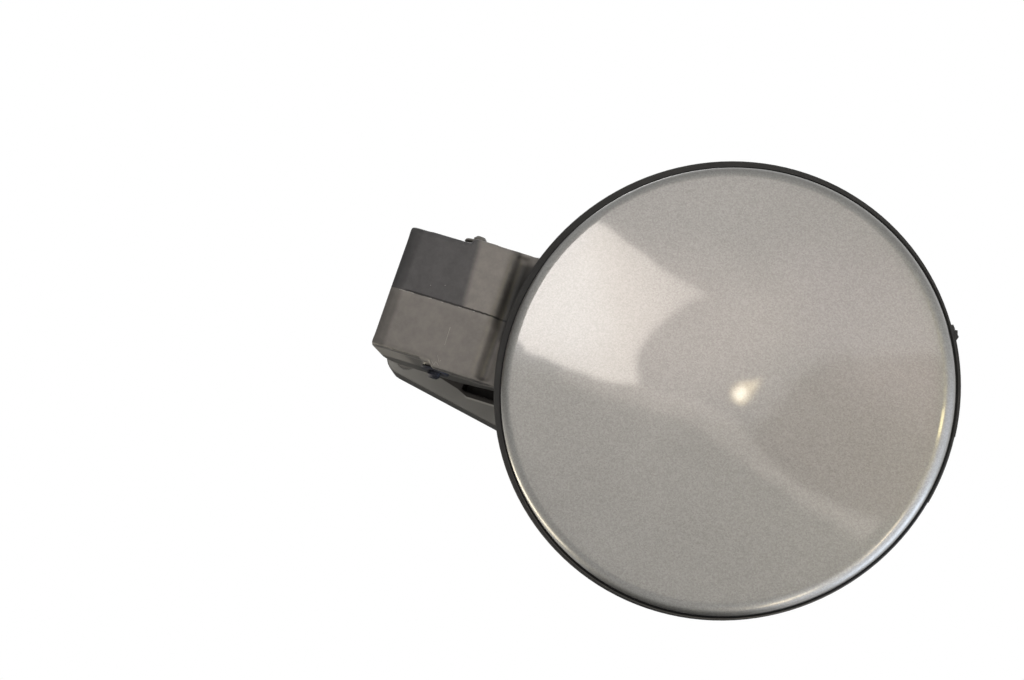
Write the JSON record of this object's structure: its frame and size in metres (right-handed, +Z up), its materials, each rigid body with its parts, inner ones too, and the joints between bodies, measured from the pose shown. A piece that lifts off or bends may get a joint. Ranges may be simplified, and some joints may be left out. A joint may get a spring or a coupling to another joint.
{
  "type": "fuel filler flap",
  "caption": "Round painted fuel filler flap on a moulded hinge arm that swings open on its fixed base, with a catch eye behind.",
  "frame": {"origin": "middle of the four screw holes of the base, on its mounting face", "axes": "+X from the hinge towards the disc, +Y into the car, +Z up along the hinge pin"},
  "size_m": [0.1992, 0.0526, 0.1537],
  "materials": {
    "paint": "metallic base coat under clear coat",
    "moulded_black": "moulded, fine grain",
    "moulded_grey": "moulded, satin",
    "rubber": "moulded rubber",
    "plated_steel": "zinc plated",
    "spring_steel": "drawn, oiled",
    "bronze": "sintered bronze"
  },
  "bodies": {
    "base": {"hinge_base": "moulded_grey", "upper_bush": "bronze", "lower_bush": "bronze", "closing_spring": "spring_steel", "open_buffer": "rubber", "close_buffer": "rubber", "mount_sleeves": "plated_steel"},
    "flap": {"outer_skin": "paint", "inner_panel": "moulded_black", "hinge_arm": "moulded_grey", "arm_screws": "plated_steel", "latch_eye": "plated_steel", "latch_screws": "plated_steel", "upper_bumper": "rubber", "lower_bumper": "rubber", "hinge_pin": "spring_steel", "upper_pin_clip": "spring_steel", "lower_pin_clip": "spring_steel"}
  },
  "joints": [
    {"name": "flap_hinge", "type": "hinge", "parent": "base", "child": "flap", "pos_m": [-0.008, -0.03761, 0], "axis": [0, 0, -1], "range_deg": [0, 100], "stiffness_Nm_per_rad": 0.03, "springref_deg": -34.38, "deforming": ["closing_spring"]}
  ]
}
